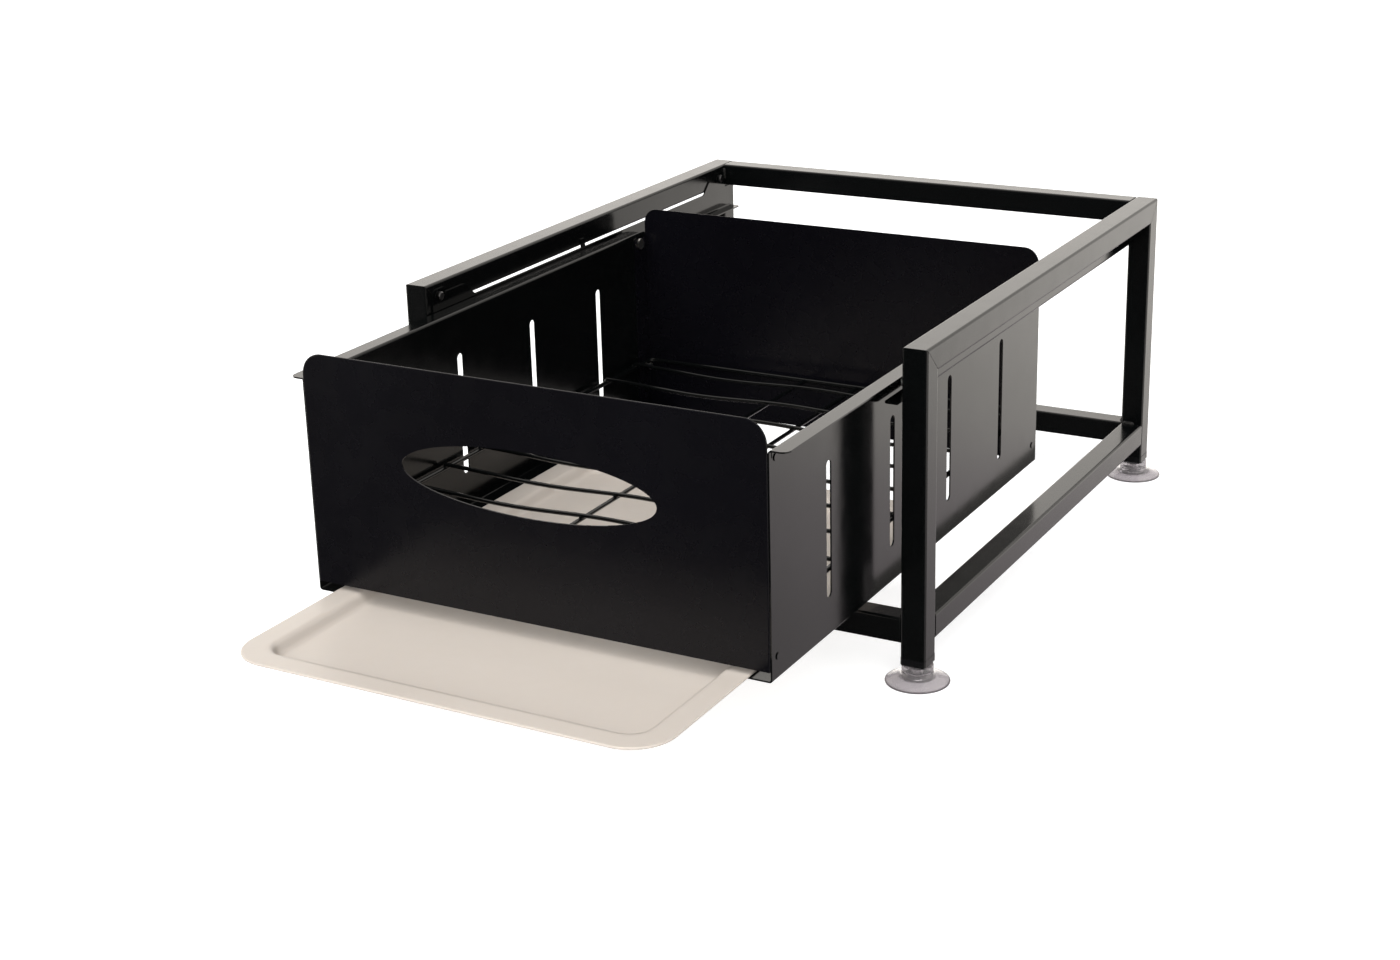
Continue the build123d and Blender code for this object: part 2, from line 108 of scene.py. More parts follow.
class Skin:
    """Points and faces gathered from several surfaces, to become one mesh."""

    def __init__(self) -> None:
        """Start with nothing."""
        self.points: List[np.ndarray] = []
        self.faces: List[List[int]] = []
        self.size = 0

    def add(self, grid: np.ndarray, closed_rows: bool = False) -> "Skin":
        """Add a closed surface: a grid of points whose rows are rings.

        Args:
            grid: Points as an array of rows, columns and the three coordinates.
            closed_rows: Whether the last row joins the first. Otherwise both are filled with a face.

        Returns:
            This skin.
        """
        rows, columns = grid.shape[:2]
        self.faces += (lattice(rows, columns, closed_rows) + self.size).tolist()
        if not closed_rows:
            first = np.arange(columns) + self.size
            self.faces.append(first.tolist())
            self.faces.append((first + (rows - 1) * columns)[::-1].tolist())
        self.points.append(grid.reshape(-1, 3))
        self.size += rows * columns
        return self

    def mesh(self, name: str, finish: "Finish", sharp: float = 38.0, weld: float = 1e-7
             ) -> bpy.types.Object:
        """Make the mesh object, smooth except at edges sharper than an angle.

        Args:
            name: The piece's name.
            finish: Its finish.
            sharp: The least angle of a sharp edge, in degrees.
            weld: Points closer than this are merged, which closes poles.

        Returns:
            The new object, at the origin.
        """
        data = bpy.data.meshes.new(name)
        data.from_pydata(np.concatenate(self.points).tolist(), [], self.faces)
        work = bmesh.new()
        work.from_mesh(data)
        bmesh.ops.remove_doubles(work, verts=work.verts, dist=weld)
        bmesh.ops.recalc_face_normals(work, faces=work.faces)
        work.to_mesh(data)
        work.free()
        data.shade_smooth()
        data.set_sharp_from_angle(angle=math.radians(sharp))
        data.materials.append(finish.material())
        piece = bpy.data.objects.new(name, data)
        bpy.context.scene.collection.objects.link(piece)
        return piece


def settle(piece: bpy.types.Object, body: str, slot: str, *nodes: str) -> None:
    """Fix a piece to its body and hide the CAD nodes it stands for.

    Args:
        piece: The finished piece.
        body: The CAD body that it moves with.
        slot: The record's material slot of its finish. Not used.
        *nodes: The CAD nodes that it replaces.
    """
    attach(piece, body)
    if nodes:
        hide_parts(*nodes)
    log.info("%s rides on %s: %d points, %d faces", piece.name, body, len(piece.data.vertices),
             len(piece.data.polygons))


def rounded_outline(half_a: float, half_b: float, radius: float, steps: int = 6,
                    guard: float = 0.3 * MM) -> np.ndarray:
    """A rounded rectangle round the origin, anticlockwise.

    Each corner is a quarter circle, with one more point on each flat beside it, so that smooth
    shading stays within that distance of the corner.

    Args:
        half_a: Half its width.
        half_b: Half its height.
        radius: Its corners' radius.
        steps: Into how many parts each corner is divided.
        guard: The distance of the points beside the corners.

    Returns:
        An array of points with two coordinates.
    """
    start = np.arange(4)[:, None] * math.pi / 2
    turn = start + np.linspace(0, math.pi / 2, steps + 1)[None, :]
    ring = np.stack([np.cos(turn), np.sin(turn)], -1)
    centre = np.array([[1, 1], [-1, 1], [-1, -1], [1, -1]]) * [half_a - radius, half_b - radius]
    arcs = centre[:, None, :] + radius * ring
    along = np.stack([-np.sin(turn), np.cos(turn)], -1)
    before = arcs[:, :1] - guard * along[:, :1]
    after = arcs[:, -1:] + guard * along[:, -1:]
    return np.concatenate([before, arcs, after], 1).reshape(-1, 2)


def turned_grid(profile: Sequence[Pair], centre: Sequence[float], axis: Axis = Axis.Z,
                segments: int = 48) -> np.ndarray:
    """A profile turned round an axis.

    Args:
        profile: Pairs of a distance from the axis and a distance along it from the centre.
        centre: The point on the axis that the profile is measured from.
        axis: The axis.
        segments: How many steps the turn has.

    Returns:
        A grid of points, one row for each point of the profile.
    """
    radius, along = np.array(profile, float).T
    turn = np.linspace(0, 2 * math.pi, segments, endpoint=False)
    grid = np.zeros((len(radius), segments, 3))
    first, second = [(1, 2), (2, 0), (0, 1)][axis.value]
    grid[..., axis.value] = along[:, None]
    grid[..., first] = radius[:, None] * np.cos(turn)
    grid[..., second] = radius[:, None] * np.sin(turn)
    return grid + np.array(centre, float)


def wire_grid(path: np.ndarray, radius: float, closed: bool = False, around: int = 14) -> np.ndarray:
    """A round wire along a path that lies nearly level.

    At each point of the path a circle stands square to it. Its sideways direction is the path's
    direction crossed with +Z, and its upward one closes the set.

    Args:
        path: The points of the wire's middle line.
        radius: The wire's radius.
        closed: Whether the path is a ring.
        around: How many points the circle has.

    Returns:
        A grid of points, one row for each point of the path.
    """
    if closed:
        way = np.roll(path, -1, 0) - np.roll(path, 1, 0)
    else:
        way = np.gradient(path, axis=0)
    way = way / np.linalg.norm(way, axis=1, keepdims=True)
    side = np.cross(way, [0.0, 0.0, 1.0])
    side = side / np.linalg.norm(side, axis=1, keepdims=True)
    up = np.cross(side, way)
    turn = np.linspace(0, 2 * math.pi, around, endpoint=False)
    cosine = np.cos(turn)[None, :, None]
    sine = np.sin(turn)[None, :, None]
    return path[:, None, :] + radius * (side[:, None, :] * cosine + up[:, None, :] * sine)


# Finishes


class NodeTree:
    """The nodes of a material or a world, with short calls that add and join them."""

    def __init__(self, owner: Union[bpy.types.Material, bpy.types.World]) -> None:
        """Start with an empty tree and one node for coordinates.

        Args:
            owner: The material or world that the nodes belong to.
        """
        owner.use_nodes = True
        self.tree = owner.node_tree
        self.tree.nodes.clear()
        self.coordinates = self.node("ShaderNodeTexCoord")

    def node(self, kind: str, **settings: object) -> bpy.types.Node:
        """Add a node and set its properties.

        Args:
            kind: The node's type.
            **settings: Its properties by name.

        Returns:
            The new node.
        """
        made = self.tree.nodes.new(kind)
        for key, value in settings.items():
            setattr(made, key, value)
        return made

    def join(self, source: Socket, target: Socket) -> None:
        """Join an output to an input."""
        self.tree.links.new(source, target)

    def remap(self, source: Socket, span: Pair, to: Pair, kind: str = "LINEAR") -> Socket:
        """Carry one span of values over to another. Outside it the end values hold.

        Args:
            source: The value.
            span: The span of it that counts.
            to: What the span's two ends become.
            kind: The node's name for the way between them.

        Returns:
            The new value.
        """
        made = self.node("ShaderNodeMapRange", interpolation_type=kind)
        for name, value in zip(("From Min", "From Max", "To Min", "To Max"), (*span, *to)):
            made.inputs[name].default_value = value
        self.join(source, made.inputs["Value"])
        return made.outputs["Result"]

    def combine(self, kind: str, *sources: Socket) -> Socket:
        """Work out one value from others.

        Args:
            kind: The node's name for the operation.
            *sources: The values that it takes, in order.

        Returns:
            Its result.
        """
        made = self.node("ShaderNodeMath", operation=kind)
        for source, target in zip(sources, made.inputs):
            self.join(source, target)
        return made.outputs["Value"]


class FinishTree(NodeTree):
    """A material's nodes, which read the object's own coordinates.

    Attributes:
        MIDDLE: The part of a noise field that counts, because little of it lies outside.
    """

    MIDDLE: Pair = (0.3, 0.7)

    def __init__(self, name: str) -> None:
        """Start a material.

        Args:
            name: The material's name.
        """
        self.material = bpy.data.materials.new(name)
        super().__init__(self.material)
        self.place = self.coordinates.outputs["Object"]

    def noise(self, scale: float, detail: float = 2.0) -> Socket:
        """A noise field on the object's own coordinates.

        Args:
            scale: How many features a metre holds.
            detail: How many finer layers lie over it.

        Returns:
            The field, from 0 to 1.
        """
        made = self.node("ShaderNodeTexNoise")
        made.inputs["Scale"].default_value = scale
        made.inputs["Detail"].default_value = detail
        self.join(self.place, made.inputs["Vector"])
        return made.outputs["Fac"]

    def blend(self, amount: Socket, low: Sequence[float], high: Sequence[float]) -> Socket:
        """A colour between two colours, by a noise field.

        Args:
            amount: The field.
            low: The colour where it is low.
            high: The colour where it is high.

        Returns:
            The colour.
        """
        ramp = self.node("ShaderNodeValToRGB")
        for stop, position, colour in zip(ramp.color_ramp.elements, self.MIDDLE, (low, high)):
            stop.position = position
            stop.color = (*colour, 1.0)
        self.join(amount, ramp.inputs["Fac"])
        return ramp.outputs["Color"]

    def span(self, amount: Socket, low: float, high: float) -> Socket:
        """A number between two numbers, by a noise field."""
        return self.remap(amount, self.MIDDLE, (low, high))

    def bump(self, height: Socket, distance: float, under: Optional[Socket] = None) -> Socket:
        """A normal raised by a height field.

        Args:
            height: The field.
            distance: How high its full height stands.
            under: Another normal that it lies over.

        Returns:
            The normal.
        """
        made = self.node("ShaderNodeBump")
        made.inputs["Distance"].default_value = distance
        made.inputs["Strength"].default_value = 1.0
        self.join(height, made.inputs["Height"])
        if under is not None:
            self.join(under, made.inputs["Normal"])
        return made.outputs["Normal"]

    def finish(self, **values: object) -> bpy.types.Material:
        """End with a Principled shader.

        Args:
            **values: Its inputs by name, with spaces as underscores. A socket is joined, and a
                number or colour is set.

        Returns:
            The finished material.
        """
        shader = self.node("ShaderNodeBsdfPrincipled")
        for key, value in values.items():
            target = shader.inputs[key.replace("_", " ")]
            if isinstance(value, bpy.types.NodeSocket):
                self.join(value, target)
            else:
                target.default_value = value
        output = self.node("ShaderNodeOutputMaterial")
        self.join(shader.outputs["BSDF"], output.inputs["Surface"])
        return self.material


def shaded(colour: Colour, share: float) -> Colour:
    """A colour made darker evenly."""
    return tuple(share * part for part in colour)


class Finish:
    """A named finish that makes its material once."""

    name: str

    def material(self) -> bpy.types.Material:
        """The finish's material, made at its first use."""
        return bpy.data.materials.get(self.name) or self.build()

    def build(self) -> bpy.types.Material:
        """Make the material."""
        raise NotImplementedError


@dataclass(frozen=True)
class Enamel(Finish):
    """Black stove enamel on steel: a smooth coat with a faint orange peel over slightly uneven sheet.

    Attributes:
        name: The material's name.
        dark: The coat's colour where it is thickest.
        light: Its colour where it is thinnest.
        roughness: The least and most roughness.
        specular: The coat's specular level.
        peel: The height of the orange peel.
        wave: The height of the sheet's slow waves.
        drift_scale: How many drifts of colour a metre has.
        haze_scale: How many changes of roughness.
        peel_scale: How many dimples of orange peel.
        wave_scale: How many slow waves.
    """

    name: str
    dark: Colour = (0.0013, 0.0016, 0.0016)
    light: Colour = (0.0019, 0.0022, 0.0023)
    roughness: Pair = (0.11, 0.16)
    specular: float = 0.5
    peel: float = 0.006 * MM
    wave: float = 0.06 * MM
    drift_scale: float = 9.0
    haze_scale: float = 60.0
    peel_scale: float = 900.0
    wave_scale: float = 11.0

    def build(self) -> bpy.types.Material:
        """Colour and roughness drift slowly, and two bumps lie over each other."""
        tree = FinishTree(self.name)
        slow = tree.bump(tree.noise(self.wave_scale, detail=0.0), self.wave)
        return tree.finish(
            Base_Color=tree.blend(tree.noise(self.drift_scale, detail=3.0), self.dark, self.light),
            Roughness=tree.span(tree.noise(self.haze_scale, detail=4.0), *self.roughness),
            Specular_IOR_Level=self.specular,
            Normal=tree.bump(tree.noise(self.peel_scale, detail=1.0), self.peel, slow),
        )


@dataclass(frozen=True)
class Moulding(Finish):
    """A moulded plastic: an even colour with faint mottling and a fine spark grain.

    Attributes:
        name: The material's name.
        low: The darker of its two colours.
        high: The lighter one.
        roughness: The least and most roughness.
        specular: The specular level.
        grain: The grain's height.
        subsurface: How much light passes under the surface.
        reach: How far that light reaches.
        reach_tint: The share of that reach for red, green and blue.
        mottle_scale: How many changes of colour a metre has.
        haze_scale: How many changes of roughness.
        grain_scale: How many grains.
    """

    name: str
    low: Colour
    high: Colour
    roughness: Pair
    specular: float = 0.5
    grain: float = 0.02 * MM
    subsurface: float = 0.0
    reach: float = 2.0 * MM
    reach_tint: Colour = (1.0, 0.8, 0.6)
    mottle_scale: float = 14.0
    haze_scale: float = 90.0
    grain_scale: float = 1400.0

    def build(self) -> bpy.types.Material:
        """Colour drifts slowly, roughness quickly, and the grain is a bump."""
        tree = FinishTree(self.name)
        return tree.finish(
            Base_Color=tree.blend(tree.noise(self.mottle_scale, detail=4.0), self.low, self.high),
            Roughness=tree.span(tree.noise(self.haze_scale, detail=3.0), *self.roughness),
            Specular_IOR_Level=self.specular,
            Subsurface_Weight=self.subsurface,
            Subsurface_Radius=self.reach_tint,
            Subsurface_Scale=self.reach,
            Normal=tree.bump(tree.noise(self.grain_scale, detail=1.0), self.grain),
        )


@dataclass(frozen=True)
class ClearRubber(Finish):
    """Clear soft vinyl of the suction cups, faintly grey and slightly clouded.

    Attributes:
        name: The material's name.
        tint: The colour that thick vinyl takes.
        clouded: The share of that colour left where the vinyl is clouded.
        roughness: The least and most roughness.
        index: Its index of refraction.
        clearness: How much of the light passes through.
        ripple: The height of the surface's small waves.
        cloud_scale: How many clouds a metre has.
        ripple_scale: How many small waves.
    """

    name: str
    tint: Colour = (0.52, 0.485, 0.50)
    clouded: float = 0.94
    roughness: Pair = (0.06, 0.16)
    index: float = 1.45
    clearness: float = 0.82
    ripple: float = 0.04 * MM
    cloud_scale: float = 150.0
    ripple_scale: float = 420.0

    def build(self) -> bpy.types.Material:
        """Roughness and the surface's small waves follow noise."""
        tree = FinishTree(self.name)
        cloud = tree.noise(self.cloud_scale, detail=3.0)
        return tree.finish(
            Base_Color=tree.blend(cloud, shaded(self.tint, self.clouded), self.tint),
            Roughness=tree.span(cloud, *self.roughness),
            IOR=self.index,
            Transmission_Weight=self.clearness,
            Normal=tree.bump(tree.noise(self.ripple_scale, detail=1.0), self.ripple),
        )


@dataclass(frozen=True)
class BrightSteel(Finish):
    """Plated steel with fine turning marks.

    Attributes:
        name: The material's name.
        tone: The plating's colour.
        roughness: The least and most roughness.
        dull: The share of the colour left where the plating is dull.
        scratch: The depth of its marks.
        dull_scale: How many dull places a metre has.
        mark_scale: How many marks.
    """

    name: str
    tone: Colour = (0.76, 0.75, 0.73)
    roughness: Pair = (0.26, 0.40)
    dull: float = 0.85
    scratch: float = 0.01 * MM
    dull_scale: float = 200.0
    mark_scale: float = 1200.0

    def build(self) -> bpy.types.Material:
        """Roughness and small scratches follow one fine noise."""
        tree = FinishTree(self.name)
        marks = tree.noise(self.mark_scale, detail=4.0)
        return tree.finish(
            Base_Color=tree.blend(tree.noise(self.dull_scale), shaded(self.tone, self.dull), self.tone),
            Metallic=1.0,
            Roughness=tree.span(marks, *self.roughness),
            Normal=tree.bump(marks, self.scratch),
        )


STAND_PAINT = Enamel("stand_enamel", roughness=(0.16, 0.22))
RAIL_PAINT = Enamel("rail_enamel", roughness=(0.10, 0.16))
DRAWER_PAINT = Enamel("drawer_enamel", wave=0.14 * MM)
PANEL_PAINT = Enamel("panel_enamel", (0.0017, 0.0016, 0.0025), (0.0023, 0.0022, 0.0033),
                     roughness=(0.24, 0.30), specular=0.25)
LEFT_PAINT = Enamel("drawer_left_enamel", roughness=(0.14, 0.20), specular=0.36, wave=0.14 * MM)
RACK_PAINT = Enamel("rack_enamel", roughness=(0.10, 0.18), wave=0.0)
CAP_PLASTIC = Moulding("cap_black", (0.0030, 0.0030, 0.0034), (0.0046, 0.0046, 0.0050),
                       roughness=(0.17, 0.24), grain=0.006 * MM)
NYLON = Moulding("roller_nylon", (0.55, 0.54, 0.50), (0.62, 0.61, 0.57), roughness=(0.32, 0.45),
                 subsurface=0.1)
TRAY_PLASTIC = Moulding("tray_cream", (0.445, 0.400, 0.357), (0.453, 0.408, 0.365),
                        roughness=(0.34, 0.42), specular=0.26, grain=0.006 * MM, subsurface=0.10)
VINYL = ClearRubber("clear_vinyl")
# Painted shade: a darker vinyl for the cups' outermost faces, standing in for the dark look of clear vinyl
# seen edge on.
EDGE_SHADE_VINYL = ClearRubber("clear_vinyl_edge_shade", (0.20, 0.18, 0.19))
STEEL = BrightSteel("bright_nickel")
SCREW_STEEL = BrightSteel("dark_zinc", (0.16, 0.16, 0.165), (0.26, 0.38))


# Stage


@dataclass
class PhotoCamera:
    """The photograph's camera, front right of the object and above it.

    Attributes:
        place: Where it stands.
        yaw: How far it is turned to the left of +Y, in degrees.
        pitch: How far it looks down, in degrees.
        roll: How far it leans, in degrees.
        sensor: Its sensor's width in millimetres.
        lens: Its focal length in millimetres.
        shift_up: How far the picture is shifted, in picture widths.
    """

    place: Corner = (0.81560, -1.49916, 0.71173)
    yaw: float = 29.217
    pitch: float = 18.919
    roll: float = -1.447
    sensor: float = 36.0
    lens: float = 57.334
    shift_up: float = -0.0286

    def turn(self) -> np.ndarray:
        """Its turn: yaw about +Z, then pitch, then roll about the line of sight.

        Returns:
            Its right, its up and the way behind it, as the columns of an array.
        """
        yaw, pitch, roll = np.radians([self.yaw, -self.pitch, self.roll])
        flat = np.array([-math.sin(yaw), math.cos(yaw), 0.0])
        ahead = math.cos(pitch) * flat + math.sin(pitch) * np.array([0.0, 0.0, 1.0])
        level = np.array([math.cos(yaw), math.sin(yaw), 0.0])
        right = math.cos(roll) * level + math.sin(roll) * np.cross(level, ahead)
        return np.column_stack([right, np.cross(right, ahead), -ahead])

    def build(self) -> None:
        """Make the camera and set it as the scene's."""
        data = bpy.data.cameras.new("photo_camera")
        data.sensor_width = self.sensor
        data.lens = self.lens
        data.shift_y = self.shift_up
        camera = bpy.data.objects.new("photo_camera", data)
        matrix = np.identity(4)
        matrix[:3, :3] = self.turn()
        matrix[:3, 3] = self.place
        camera.matrix_world = Matrix(matrix.tolist())
        bpy.context.scene.collection.objects.link(camera)
        bpy.context.scene.camera = camera


@dataclass
class Studio:
    """A white floor under soft light, with a bright white sweep behind the object.

    A direction is a unit vector from the object outwards, so its parts lie between -1 and 1.

    Attributes:
        floor_reach: The floor's radius.
        floor_hole: The radius of the dot left open at its middle.
        floor_start: The radius of its first ring, beyond which the rings are even.
        floor_rings: How many even rings it has.
        floor_drop: How far it lies below the feet.
        floor_tone: The floor's colour.
        floor_cloud: The share of that colour left where it is clouded.
        floor_cloud_scale: How many clouds a metre has.
        floor_roughness: Its roughness.
        floor_specular: Its specular level.
        floor_glow: The floor's own light, which keeps shadows pale.
        bowl_start: The radius of the white bowl beyond the floor, in floor radii.
        bowl_flare: How much wider it gets, in floor radii.
        bowl_rise: How high it gets, in floor radii.
        bowl_drop: How far its lower edge lies below the feet.
        bowl_steps: How many rings its curve has.
        bowl_glow: Its light.
        around: How many points a ring of floor or bowl has.
        sweep: Pairs of the upward part of a direction and the sweep's radiance there.
        warm: The sweep's tint above the floor's far edge.
        rosy: Its tint below.
        edge: The upward part of a direction at which the tints meet.
        back: The direction towards the sweep's middle, back and up.
        ahead: Where the sweep starts and where it is full, as the part of a direction along that.
        dim: The radiance on the camera's side, as a share of the sweep's.
        lean: How much the radiance grows to the left.
        far_right: Where the radiance starts to fall towards the right, and where it has fallen.
        fallen: To which share it falls there.
        flanks: The sideways part of a direction where the side lights start, and where they are full.
        flank_glow: The side lights' strength. They light the object's flanks in views from behind.
        flank_front: The backward part of a direction where the side lights start, and where they
            are full.
        sun_power: The overhead light's irradiance.
        sun_spread: Its width, in degrees.
        sun_tip: How far it is tipped about X and about Y, in degrees.
    """

    floor_reach: float = 9.0
    floor_hole: float = 1.0 * MM
    floor_start: float = 0.5
    floor_rings: int = 8
    floor_drop: float = 0.3 * MM
    floor_tone: float = 0.50
    floor_cloud: float = 0.97
    floor_cloud_scale: float = 3.0
    floor_roughness: float = 0.9
    floor_specular: float = 0.1
    floor_glow: float = 0.78
    bowl_start: float = 0.98
    bowl_flare: float = 0.4
    bowl_rise: float = 1.2
    bowl_drop: float = 1.0 * MM
    bowl_steps: int = 12
    bowl_glow: float = 1.3
    around: int = 96
    sweep: Tuple[Pair, ...] = (
        (-1.0, 0.46), (-0.60, 0.50), (-0.41, 0.60), (-0.35, 0.90), (-0.31, 1.40), (-0.27, 1.75),
        (-0.20, 1.95), (0.10, 1.65), (0.24, 1.35), (0.60, 1.1), (1.0, 0.9),
    )
    warm: Colour = (1.0, 0.955, 0.895)
    rosy: Colour = (1.0, 0.915, 0.925)
    edge: float = -0.33
    back: Corner = (0.0, 0.8, 0.6)
    ahead: Pair = (-0.2, 0.45)
    dim: float = 0.03
    lean: float = 0.4
    far_right: Pair = (0.43, 0.56)
    fallen: float = 0.40
    flanks: Pair = (0.67, 0.75)
    flank_glow: float = 1.5
    flank_front: Pair = (-0.73, -0.62)
    sun_power: float = 6.25
    sun_spread: float = 95.0
    sun_tip: Pair = (35.0, 8.0)

    @property
    def peak(self) -> float:
        """The sweep's highest radiance."""
        return max(value for _, value in self.sweep)

    def round_stage(self, name: str, profile: Sequence[Pair], finish: bpy.types.Material
                    ) -> bpy.types.Object:
        """A staged surface turned round the middle of the floor.

        Args:
            name: Its name.
            profile: Pairs of a radius and a height, outwards.
            finish: Its material.

        Returns:
            The new object.
        """
        grid = turned_grid(profile, (0.0, 0.0, 0.0), segments=self.around)
        data = bpy.data.meshes.new(name)
        data.from_pydata(grid.reshape(-1, 3).tolist(), [], lattice(*grid.shape[:2]).tolist())
        data.shade_smooth()
        data.materials.append(finish)
        stage = bpy.data.objects.new(name, data)
        bpy.context.scene.collection.objects.link(stage)
        return stage

    def floor(self) -> None:
        """A round white floor that the gloss of the object does not mirror."""
        tree = FinishTree("floor_white")
        white = (self.floor_tone,) * 3
        clouds = tree.noise(self.floor_cloud_scale)
        finish = tree.finish(
            Base_Color=tree.blend(clouds, shaded(white, self.floor_cloud), white),
            Roughness=self.floor_roughness,
            Specular_IOR_Level=self.floor_specular,
            Emission_Color=(1.0, 1.0, 1.0, 1.0),
            Emission_Strength=self.floor_glow,
        )
        rings = np.linspace(self.floor_start, self.floor_reach, self.floor_rings)
        flat = [(radius, -self.floor_drop) for radius in (self.floor_hole, *rings)]
        self.round_stage("floor", flat, finish).visible_glossy = False

    def surround(self) -> None:
        """A white bowl beyond the floor, which neither lights nor is mirrored."""
        tree = FinishTree("surround_white")
        glow = tree.node("ShaderNodeEmission")
        glow.inputs["Strength"].default_value = self.bowl_glow
        tree.join(glow.outputs["Emission"], tree.node("ShaderNodeOutputMaterial").inputs["Surface"])
        turn = np.linspace(0, math.pi / 2, self.bowl_steps)
        radius = self.floor_reach * (self.bowl_start + self.bowl_flare * np.sin(turn))
        height = self.floor_reach * self.bowl_rise * (1 - np.cos(turn)) - self.bowl_drop
        bowl = self.round_stage("surround", np.column_stack([radius, height]), tree.material)
        bowl.visible_diffuse = False
        bowl.visible_glossy = False
        bowl.visible_shadow = False

    def sweep_colour(self, tree: NodeTree, up: Socket) -> Socket:
        """The sweep's colour at each height, brightest at 1.

        Args:
            tree: The world's nodes.
            up: The upward part of the direction.

        Returns:
            The colour.
        """
        ramp = tree.node("ShaderNodeValToRGB")
        ramp.color_ramp.interpolation = "EASE"
        stops = ramp.color_ramp.elements
        while len(stops) < len(self.sweep):
            stops.new(0.5)
        for stop, (height, value) in zip(stops, self.sweep):
            stop.position = (height + 1) / 2
            tint = self.warm if height > self.edge else self.rosy
            stop.color = (*shaded(tint, value / self.peak), 1.0)
        tree.join(tree.remap(up, (-1, 1), (0, 1)), ramp.inputs["Fac"])
        return ramp.outputs["Color"]

    def sweep_strength(self, tree: NodeTree, direction: Socket, across: Socket) -> Socket:
        """The sweep's strength: full behind the object, less towards the camera and at the far right.

        Args:
            tree: The world's nodes.
            direction: The direction.
            across: Its sideways part.

        Returns:
            The strength.
        """
        behind = tree.node("ShaderNodeVectorMath", operation="DOT_PRODUCT")
        behind.inputs[1].default_value = self.back
        tree.join(direction, behind.inputs[0])
        strengths = (self.dim * self.peak, self.peak)
        depth = tree.remap(behind.outputs["Value"], self.ahead, strengths, "SMOOTHSTEP")
        sideways = tree.remap(across, (-1, 1), (1 + self.lean, 1 - self.lean))
        right = tree.remap(across, self.far_right, (1.0, self.fallen), "SMOOTHSTEP")
        return tree.combine("MULTIPLY", tree.combine("MULTIPLY", depth, sideways), right)

    def flank_strength(self, tree: NodeTree, across: Socket, away: Socket) -> Socket:
        """The side lights' strength: far out on both sides, but not towards the camera.

        Args:
            tree: The world's nodes.
            across: The sideways part of the direction.
            away: Its backward part.

        Returns:
            The strength.
        """
        aside = tree.combine("ABSOLUTE", across)
        flank = tree.remap(aside, self.flanks, (0.0, self.flank_glow), "SMOOTHSTEP")
        front = tree.remap(away, self.flank_front, (0.0, 1.0), "SMOOTHSTEP")
        return tree.combine("MULTIPLY", flank, front)

    def world(self) -> None:
        """The light that gloss mirrors: in each direction the brighter of sweep and side lights."""
        world = bpy.data.worlds.new("studio")
        bpy.context.scene.world = world
        world.cycles_visibility.diffuse = False
        tree = NodeTree(world)
        direction = tree.coordinates.outputs["Generated"]
        parts = tree.node("ShaderNodeSeparateXYZ")
        tree.join(direction, parts.inputs["Vector"])
        across, away, up = parts.outputs
        sweep = self.sweep_strength(tree, direction, across)
        flank = self.flank_strength(tree, across, away)
        glow = tree.node("ShaderNodeBackground")
        tree.join(self.sweep_colour(tree, up), glow.inputs["Color"])
        tree.join(tree.combine("MAXIMUM", sweep, flank), glow.inputs["Strength"])
        tree.join(glow.outputs["Background"], tree.node("ShaderNodeOutputWorld").inputs["Surface"])

    def lights(self) -> None:
        """One very wide soft light overhead."""
        data = bpy.data.lights.new("overhead", "SUN")
        data.energy = self.sun_power
        data.angle = math.radians(self.sun_spread)
        light = bpy.data.objects.new("overhead", data)
        light.rotation_euler = (*np.radians(self.sun_tip), 0.0)
        light.visible_glossy = False
        bpy.context.scene.collection.objects.link(light)

    def build(self) -> None:
        """Set up the floor, the surround, the world and the light."""
        bpy.context.scene.view_settings.view_transform = "Standard"
        self.floor()
        self.surround()
        self.world()
        self.lights()


# Stand


